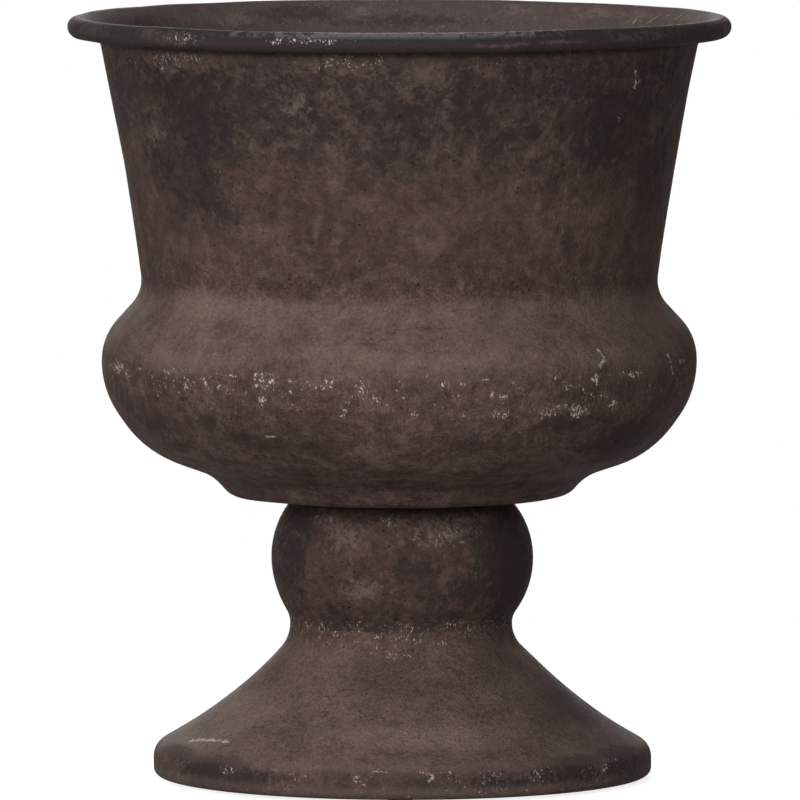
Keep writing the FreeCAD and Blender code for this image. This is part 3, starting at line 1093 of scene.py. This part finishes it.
coat.scratch(primer, 0.55, knock_ends, 1.3, outside)
coat.scratch(primer, 0.20, inner_knock_ends, 1.0)
coat.scratch(soot, 0.30, dark_line_ends, 1.4)
feed(tree, coat.surface.inputs["Coat Weight"], times(tree, rubbed_and_highlit, 0.12))
coat.surface.inputs["Coat Roughness"].default_value = polish_roughness
smoother = calculate(tree, "SUBTRACT", coat.base["Roughness"], times(tree, rubbed_and_highlit, 0.18))
coat.finish(collar, rim_core, girth_backing, roughness=smoother)

# %% [markdown]
# ## Belly
# Below the seam the belly is blotched with dark brown, and the seam's chips spill down onto it. Its lower
# right is darkened by painted shade and its middle lightened by painted light. Its turned base shows fine
# lines from the lathe, which also lighten it as a painted light, and the step above it is darkened by
# painted shade.

# %% Belly finish: ground and blotches
upper_start, upper_full = 0.145, 0.182
blotch_spots = [
    (158, 426, 20, 12), (272, 446, 36, 13), (242, 438, 20, 10), (322, 448, 34, 12), (208, 422, 14, 14),
    (470, 446, 26, 9), (560, 424, 32, 12), (352, 466, 24, 8), (180, 446, 16, 9),
]
painted_shade_lower_right_spots = [(620, 442, 66, 36)]
painted_light_middle_spots = [(400, 420, 170, 60), (400, 486, 130, 24)]

coat = Coat("belly_coat")
tree = coat.tree
where = coat.where
upper_belly = remap(tree, coat.height, upper_start, upper_full)
coat.start(charcoal=0.16, umber=0.65, ochre=0.20, flakes=between(tree, upper_belly, 0.70, 0.55), grain=0.95,
           specks=between(tree, upper_belly, 0.45, 0.30))
coat.daub(bark, 0.68, blotch_spots, edge=0.7)
# Painted shade: the lower right of the belly is laid darker in bark and soot.
painted_shade_lower_right = coat.smudges(painted_shade_lower_right_spots, soft_edge)
coat.lay(bark, 0.60, painted_shade_lower_right)
coat.lay(soot, 0.30, painted_shade_lower_right)
# Painted light: the middle of the belly is toned lighter.
coat.tone(between(tree, coat.smudges(painted_light_middle_spots, soft_edge), 1.0, 1.13))
coat.tell("with its blotches")

# %% Belly finish: seam wear and the turned base
spilled_height = girth_height - 0.003
base_full, base_end = 0.150, 0.165
step_height = 0.1385
lathe_scale = 420.0
knock_ends = [(267, 437, 276, 437)]

outside = remap(tree, outward_facing(tree, where), turned_in, 0.0)
seam_ring = ring(tree, where, middle=spilled_height, half_width=0.003, feather=0.010, wander=0.016)
wear_seam(coat, seam_ring, outside, front=0.78, behind=1.08, chipped=1.20, dusty=0.18, bare=0.76)
coat.scratch(primer, 0.45, knock_ends, 0.9)
lathe_lines = noise(tree, vector_step(tree, "MULTIPLY", where, (0.12, 0.12, 1.0)), lathe_scale, 3.0, 0.6)
turned_base_lines_and_light = remap(tree, coat.height, base_full, base_end, 1.0, 0.0)
# Lathe lines and painted light: the tone only lightens, so the turned base as a whole is laid lighter.
coat.tone(remap(tree, lathe_lines, 0.3, 0.7, 1.00, 1.40), turned_base_lines_and_light)
# Painted shade: soot in the step above the turned base.
step_shade = ring(tree, where, middle=step_height, half_width=0.0008, feather=0.0025, wander=0.002)
coat.lay(soot, 0.16, step_shade)
coat.finish(belly)

# %% [markdown]
# ## Knop
# The knop sits in the bowl's shadow and kept most of its charcoal, and its right cheek is darkened by
# painted shade. Dust and a few chips lie on its upper curve, its neck is chipped too, and painted shade
# makes the crevice under the bowl nearly black.

# %% Knop finish: ground and dust
dark_cheek_spots = [
    (303, 520, 28, 22), (293, 550, 20, 32), (506, 560, 40, 58), (470, 590, 34, 18), (415, 570, 30, 14),
]
right_cheek_painted_shade_spots = [(515, 560, 46, 70)]
brow_dust_spots = [
    (390, 521, 20, 6), (326, 520, 14, 12), (346, 536, 24, 14), (440, 532, 36, 14), (470, 519, 26, 7),
    (364, 590, 24, 12), (436, 525, 24, 8),
]

coat = Coat("knop_coat")
tree = coat.tree
where = coat.where
coat.start(charcoal=0.56, umber=0.05, ochre=0.12, flakes=0.7, pits=0.16, grain=0.7)
coat.daub(charcoal, 0.76, dark_cheek_spots)
# Painted shade: the knop's right cheek is laid darker in bark and soot.
right_cheek_painted_shade = coat.smudges(right_cheek_painted_shade_spots, soft_edge)
coat.lay(bark, 0.66, right_cheek_painted_shade)
coat.lay(soot, 0.16, right_cheek_painted_shade)
coat.daub(dust, 0.42, brow_dust_spots, sponge_dabs(tree, where))
coat.tell("with its dust")

# %% Knop finish: chips and crevice shade
crevice_shade_start, crevice_shade_full = 0.1250, 0.1275
neck_height = 0.0720
brow_chip_spots = [
    (325, 518, 10, 8), (388, 520, 16, 4.5), (438, 535, 26, 12), (465, 541, 12, 3), (345, 513, 20, 3),
    (290, 602, 5, 10),
]

brow_amount = times(tree, coat.smudges(brow_chip_spots), 0.95)
coat.lay(primer, 0.5, flecks(tree, where, size=chip_size, amount=brow_amount))
# Painted shade: soot in the crevice under the bowl.
coat.lay(soot, 0.6, remap(tree, coat.height, crevice_shade_start, crevice_shade_full))
neck_ring = ring(tree, where, middle=neck_height, half_width=0.002, feather=0.005, wander=0.010)
coat.lay(primer, 0.65, flecks(tree, where, size=chip_size, amount=times(tree, neck_ring, 0.82)))
coat.finish(knop, neck_backing)

# %% [markdown]
# ## Foot
# The flare is the palest part, because dust and wear gather on its slope; painted light makes its left and
# middle paler still, and painted shade darkens its upper middle and right. The band at the floor is rose
# under clouds of charcoal, with chipped and rubbed corners, and painted shade where it meets the flare at
# both ends.

# %% Foot finish: flare
flare_dust_and_light_spots = [(238, 715, 80, 44), (195, 740, 56, 16), (420, 738, 150, 15)]
flare_shade_spots = [(400, 676, 90, 26), (490, 664, 50, 26), (556, 706, 64, 28)]
right_flare_shade_spots = [(576, 706, 44, 28)]

coat = Coat("foot_coat")
tree = coat.tree
where = coat.where
coat.start(charcoal=0.14, umber=0.65, ochre=0.24, flakes=0.5, pits=0.38, specks=0.46, grain=0.9)
coat.lay(dust, 0.42, settled_dust(tree, where, start=0.05, full=0.8))
# Dust and painted light: the left and middle of the flare are laid paler.
coat.daub(dust, 0.37, flare_dust_and_light_spots, edge=soft_edge)
# Painted shade: the upper middle and right of the flare are laid darker in bark.
coat.daub(bark, 0.34, flare_shade_spots, edge=soft_edge)
coat.daub(bark, 0.42, right_flare_shade_spots, edge=soft_edge)
flare_sand = place_group(tree, sandy_grain, where, size=0.0016)["Shade"]
coat.tone(between(tree, flare_sand, 0.76, 1.24))
coat.tell("with its flare")

# %% Foot finish: band
band_full, band_end = 0.0135, 0.0165
corner_height = 0.0155
hem_height = 0.0035
band_charcoal_spots = [
    (205, 768, 50, 22), (250, 780, 40, 16), (570, 774, 50, 18), (620, 764, 30, 20), (505, 784, 40, 10),
]
corner_shade_spots = [(176, 752, 34, 9), (222, 762, 40, 8), (620, 752, 36, 9), (575, 762, 44, 8)]

band = remap(tree, coat.height, band_full, band_end, 1.0, 0.0)
band_clouds = patches(tree, where, size=0.030, start=0.50, softness=0.07)
coat.lay(rose, 0.28, band)
coat.lay(charcoal, band, between(tree, band_clouds, 0.08, 0.40))
coat.daub(charcoal, 0.85, band_charcoal_spots, band)
# Painted shade: the corners where the band meets the flare are laid darker at both ends.
coat.daub(charcoal, 0.80, corner_shade_spots, edge=soft_edge)
corner = ring(tree, where, middle=corner_height, half_width=0.0008, feather=0.0022, wander=0.003)
coat.lay(rose, 0.35, corner)
hem = ring(tree, where, middle=hem_height, half_width=0.0015, feather=0.0040, wander=0.003)
coat.lay(dust, 0.20, hem)
coat.tell("with its band")

# %% Foot finish: chips and scratches
neck_chip_spots = [(398, 640, 80, 14), (335, 634, 34, 12), (472, 636, 30, 8), (402, 654, 40, 10)]
band_chip_spots = [
    (180, 775, 4, 6), (230, 770, 15, 6), (305, 775, 3, 3), (356, 777, 9, 5), (377, 773, 14, 3),
    (425, 773, 26, 4), (450, 789, 6, 4), (496, 776, 14, 10), (540, 774, 22, 9), (567, 770, 3, 3),
    (610, 766, 20, 12), (430, 781, 9, 6),
]
flare_pit_spots = [(530, 738, 52, 16), (400, 738, 60, 12), (470, 690, 60, 22), (330, 742, 40, 10)]
neck_ochre_spots = [(402, 638, 110, 14)]
knock_ends = [(190, 741, 212, 740), (210, 740, 229, 742)]
dark_line_ends = [(212, 752, 230, 744), (252, 727, 264, 728)]

band_clusters = patches(tree, where, size=0.020, start=0.50, softness=0.10)
all_round = between(tree, far_side(tree, where), 0.74, 1.0)
chip_amount = highest(tree, times(tree, band, band_clusters, all_round),
                      times(tree, coat.smudges(neck_chip_spots), 0.86),
                      times(tree, coat.smudges(band_chip_spots), 0.98))
coat.lay(primer, 0.66, flecks(tree, where, size=chip_size, amount=chip_amount))
coat.lay(soot, 0.42, flecks(tree, where, size=0.0010, amount=coat.smudges(flare_pit_spots)))
coat.daub(ochre, 0.25, neck_ochre_spots)
coat.scratch(primer, 0.6, knock_ends, 2.4, edge=0.6)
coat.scratch(soot, 0.5, dark_line_ends, 1.8)
coat.finish(foot)

# %% [markdown]
# ## Fittings
# The bolt, washers, strap and nut keep their CAD shapes and get a zinc finish, the sealing washer and the
# bung a rubber one, and the discs a felt.

# %% Zinc
zinc_scale = 300.0
zinc_grain_scale = 1500.0
zinc_relief = 0.00008
zinc_names = ("clamp_bolt", "bolt_washer", "clamp_strap", "spring_washer", "hex_nut")

zinc = Finish("zinc_plating", specular=0.5)
clouds = noise(zinc.tree, zinc.where, zinc_scale, detail=5.0, roughness=0.6)
zinc_grain = noise(zinc.tree, zinc.where, zinc_grain_scale, detail=2.0)
zinc.colour = blend_colours(zinc.tree, clouds, daylight(150, 150, 148), daylight(196, 192, 180))
zinc.surface.inputs["Metallic"].default_value = 1.0
zinc.complete(remap(zinc.tree, clouds, 0.2, 0.8, 0.28, 0.52), zinc_grain, zinc_relief,
              *[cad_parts[name] for name in zinc_names])

# %% Rubber
bloom_scale = 220.0
rubber_grain_scale = 2200.0
rubber_relief = 0.00006

rubber = Finish("black_rubber_mould", specular=0.4)
bloom = noise(rubber.tree, rubber.where, bloom_scale, detail=5.0, roughness=0.6)
rubber_grain = noise(rubber.tree, rubber.where, rubber_grain_scale, detail=2.0)
rubber.colour = blend_colours(rubber.tree, bloom, daylight(30, 30, 31), daylight(46, 45, 44))
rubber.complete(remap(rubber.tree, bloom, 0.2, 0.8, 0.55, 0.8), rubber_grain, rubber_relief,
                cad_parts["drain_bung"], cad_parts["sealing_washer"])

# %% Felt
fibre_scale = 2600.0
felt_roughness = 1.0
felt_relief = 0.0003

felt = Finish("pressed_felt", specular=0.1)
fibres = noise(felt.tree, felt.where, fibre_scale, detail=4.0, roughness=0.7)
felt.colour = blend_colours(felt.tree, remap(felt.tree, fibres, 0.3, 0.7), daylight(38, 37, 36),
                            daylight(84, 80, 76))
felt.complete(felt_roughness, fibres, felt_relief, *discs)

# %% [markdown]
# ## Floor, light and world
# The photo was lit from the front by one broad low light, with little from the left and above. A fourth
# softbox stands behind, where it shows the back without touching the front. The floor is a wide pale disc.
# Near the planter it keeps the soft shadow, and further out it fades to plain white for the camera. To the
# light that bounces up under the bowl it is darker, as a floor with black flags round the set would be.
# From below it can be looked through.

# %% Helpers for the floor and the world


def seen_rays(tree):
    """One for rays from the camera and those that a shine or glass sends on, nought for other light."""
    rays = add_node(tree, "ShaderNodeLightPath").outputs
    return highest(tree, rays["Is Camera Ray"], rays["Is Glossy Ray"], rays["Is Transmission Ray"])


def mix_shaders(tree, share, first, second):
    """Fade from one shader to another by a share."""
    made = add_node(tree, "ShaderNodeMixShader")
    for socket, source in zip(made.inputs, (share, first, second)):
        feed(tree, socket, source)
    return made.outputs[0]


# %% Floor
floor_radius = 40.0
floor_drop = 0.0003
shadow_start = 0.18
shadow_end = 0.60
floor_lift = 0.84
floor_white = 0.62
floor_bounce = 0.36

bpy.ops.object.select_all(action="DESELECT")
bpy.ops.mesh.primitive_circle_add(vertices=96, radius=floor_radius, fill_type="NGON",
                                  location=(0, 0, -floor_drop))
floor = bpy.context.object
floor.name = "studio_floor"

floor_finish = bpy.data.materials.new("studio_floor")
floor_finish.use_nodes = True
tree = floor_finish.node_tree
tree.nodes.clear()
seen = seen_rays(tree)
from_middle = vector_step(tree, "LENGTH", add_node(tree, "ShaderNodeTexCoord").outputs["Object"])
far = remap(tree, from_middle, shadow_start, shadow_end)
matt = add_node(tree, "ShaderNodeBsdfDiffuse")
feed(tree, matt.inputs["Color"], between(tree, seen, floor_bounce, floor_white))
lift = add_node(tree, "ShaderNodeEmission")
feed(tree, lift.inputs["Strength"], times(tree, seen, floor_lift))
near_floor = add_node(tree, "ShaderNodeAddShader")
feed(tree, near_floor.inputs[0], matt.outputs[0])
feed(tree, near_floor.inputs[1], lift.outputs[0])
white = add_node(tree, "ShaderNodeEmission")
white.inputs["Strength"].default_value = 1.0
fade = mix_shaders(tree, times(tree, far, seen), near_floor.outputs[0], white.outputs[0])
underside = add_node(tree, "ShaderNodeNewGeometry").outputs["Backfacing"]
clear = add_node(tree, "ShaderNodeBsdfTransparent")
ending = add_node(tree, "ShaderNodeOutputMaterial")
feed(tree, ending.inputs["Surface"], mix_shaders(tree, underside, fade, clear.outputs[0]))
dress(floor_finish, floor)
print("floor:", floor_radius, "m in radius")

# %% World
ambient_level = 0.025

world = bpy.data.worlds.new("studio")
bpy.context.scene.world = world
world.use_nodes = True
tree = world.node_tree
sky = tree.nodes["Background"]
sky.inputs["Color"].default_value = (1, 1, 1, 1)
feed(tree, sky.inputs["Strength"], between(tree, seen_rays(tree), ambient_level, 1.0))
print("world:", ambient_level, "of white as light")

# %% Lamps
lamp_aim = Vector((0, 0, 0.18))
softboxes = (
    ("key_softbox", (-0.46, -2.75, 1.05), 1.5, 1.11),
    ("left_softbox", (-2.35, -0.25, 0.80), 1.2, 0.16),
    ("back_softbox", (-0.10, 2.75, 0.66), 1.2, 0.72),
    ("top_softbox", (-1.05, -0.45, 2.05), 1.3, 0.32),
)


def softbox(name, place, size, level):
    """A square lamp that faces the planter. Level 1 lights a surface turned to it as written."""
    bpy.ops.object.select_all(action="DESELECT")
    bpy.ops.object.light_add(type="AREA", location=place)
    lamp = bpy.context.object
    lamp.name = name
    toward = lamp_aim - lamp.location
    lamp.rotation_euler = toward.to_track_quat("-Z", "Y").to_euler()
    lamp.data.shape = "SQUARE"
    lamp.data.size = size
    lamp.data.energy = level * math.pi ** 2 * toward.length_squared
    print(name, round(lamp.data.energy, 1), "W")


for name, place, size, level in softboxes:
    softbox(name, place, size, level)
bpy.context.scene.view_settings.view_transform = "Standard"
